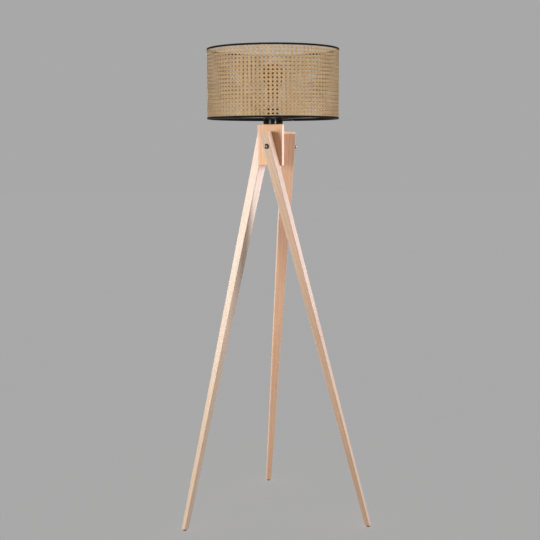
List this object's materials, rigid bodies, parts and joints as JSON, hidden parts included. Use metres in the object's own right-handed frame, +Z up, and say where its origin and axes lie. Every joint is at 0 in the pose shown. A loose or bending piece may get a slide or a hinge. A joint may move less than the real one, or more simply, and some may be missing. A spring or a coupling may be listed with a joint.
{
  "type": "tripod floor lamp",
  "caption": "Floor lamp with a drum shade of open cane webbing on a tripod of tapered wooden legs bolted round a triangular wooden hub.",
  "frame": {"origin": "the middle of the lamp's outline on the floor, at floor level", "axes": "+Z up along the lamp; -Y towards the viewer of the picture; +X to the right of the picture"},
  "size_m": [0.5986, 0.5526, 1.5095],
  "materials": {
    "beech": "satin clear lacquer on pale beech",
    "bronzed_steel": "dark bronzed steel",
    "zinc_steel": "zinc plated",
    "glide": "dark brown, matt",
    "black_plastic": "glossy black",
    "ceramic": "off-white, unglazed",
    "brass": "plain brass",
    "amber_glass": "clear amber glass",
    "clear_glass": "clear glass",
    "filament": "amber filament wire",
    "cane": "natural split cane, open octagonal weave",
    "black_wire": "black powder coat",
    "black_tape": "black woven trim tape"
  },
  "bodies": {
    "stand": {"hub_block": "beech", "leg_bolt_right": "bronzed_steel", "leg_bolt_rear": "bronzed_steel", "leg_bolt_left": "bronzed_steel", "bolt_washer_right": "bronzed_steel", "bolt_washer_rear": "bronzed_steel", "bolt_washer_left": "bronzed_steel", "thread_insert_right": "zinc_steel", "thread_insert_rear": "zinc_steel", "thread_insert_left": "zinc_steel", "cable_tube": "zinc_steel", "tube_washer": "zinc_steel", "tube_nut": "zinc_steel", "cord_bush": "black_plastic", "cover_cup": "black_plastic", "lampholder_cap": "black_plastic", "lampholder_skirt": "black_plastic", "holder_insert": "ceramic", "screw_shell": "brass", "centre_contact": "brass"},
    "right_leg": {"leg_right": "beech", "foot_glide_right": "glide"},
    "rear_leg": {"leg_rear": "beech", "foot_glide_rear": "glide"},
    "left_leg": {"leg_left": "beech", "foot_glide_left": "glide"},
    "shade": {"shade_panel": "cane", "shade_top_wire": "black_wire", "shade_spider_frame": "black_wire", "trim_tape_top": "black_tape", "trim_tape_bottom": "black_tape", "seam_strip": "cane"},
    "ring_nut": {"shade_ring_nut": "black_plastic"},
    "bulb": {"bulb_glass": "amber_glass", "bulb_cap": "brass", "bulb_insulator": "ceramic", "bulb_contact": "brass", "bulb_stem": "clear_glass", "bulb_filament": "filament"}
  },
  "joints": [
    {"name": "leg_right_fold", "type": "hinge", "parent": "stand", "child": "right_leg", "pos_m": [-0.01487, -0.0946, 1.2025], "axis": [0.3509, 0.9364, 0], "range_deg": [0, 15.33]},
    {"name": "leg_rear_fold", "type": "hinge", "parent": "stand", "child": "rear_leg", "pos_m": [0.01904, -0.05759, 1.2025], "axis": [-0.9864, -0.1644, 0], "range_deg": [0, 15.33]},
    {"name": "leg_left_fold", "type": "hinge", "parent": "stand", "child": "left_leg", "pos_m": [-0.02997, -0.04672, 1.2025], "axis": [0.6355, -0.7721, 0], "range_deg": [0, 15.33]},
    {"name": "shade_turn", "type": "hinge", "parent": "stand", "child": "shade", "pos_m": [-0.0086, -0.0663, 1.29], "axis": [0, 0, 1], "continuous": true},
    {"name": "shade_ring_screw", "type": "hinge", "parent": "stand", "child": "ring_nut", "pos_m": [-0.0086, -0.0663, 1.2955], "axis": [0, 0, 1], "range_deg": [0, 360]},
    {"name": "bulb_screw", "type": "hinge", "parent": "stand", "child": "bulb", "pos_m": [-0.0086, -0.0663, 1.31], "axis": [0, 0, 1], "range_deg": [0, 360]}
  ]
}
